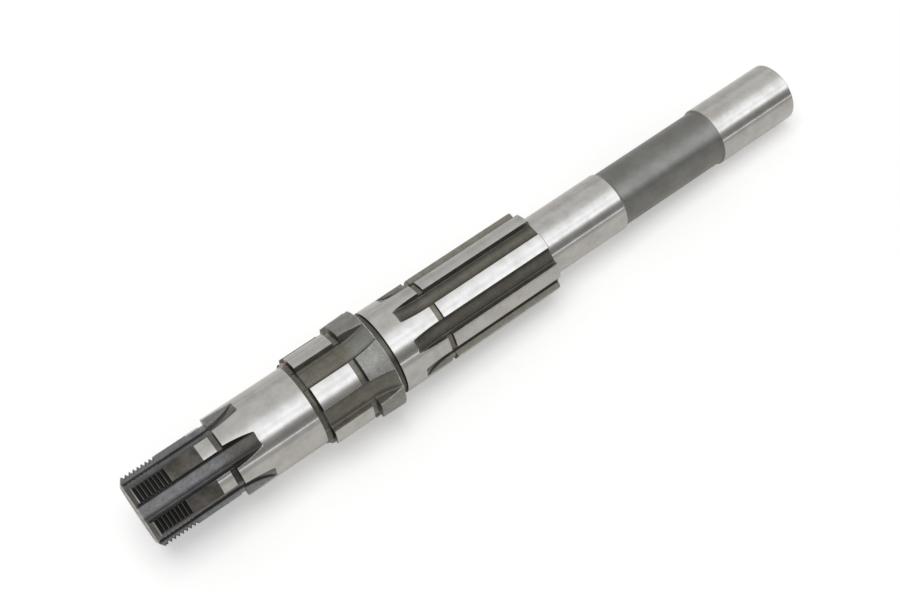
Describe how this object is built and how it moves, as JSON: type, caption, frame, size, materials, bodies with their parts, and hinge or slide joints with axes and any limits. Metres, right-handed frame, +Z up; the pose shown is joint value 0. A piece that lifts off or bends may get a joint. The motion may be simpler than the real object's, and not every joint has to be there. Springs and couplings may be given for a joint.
{
  "type": "transmission mainshaft",
  "caption": "One-piece steel transmission mainshaft with a threaded spline end, bearing seat, splined collar, long gear spline and ground journals, lying on its side.",
  "frame": {"origin": "middle of the shaft's box, on the table that it lies on", "axes": "+X towards the plain end and nearly along the shaft, which slopes down to the plain end as it comes to rest; +Z up; a groove of the collar and of the long spline faces straight down"},
  "size_m": [0.2808, 0.038, 0.0372],
  "materials": {
    "steel": "ground bright on the seats and tooth crests, dark oxide in the grooves, neck, shoulder and waist"
  },
  "bodies": {
    "root": {"mainshaft": "steel"}
  },
  "joints": []
}
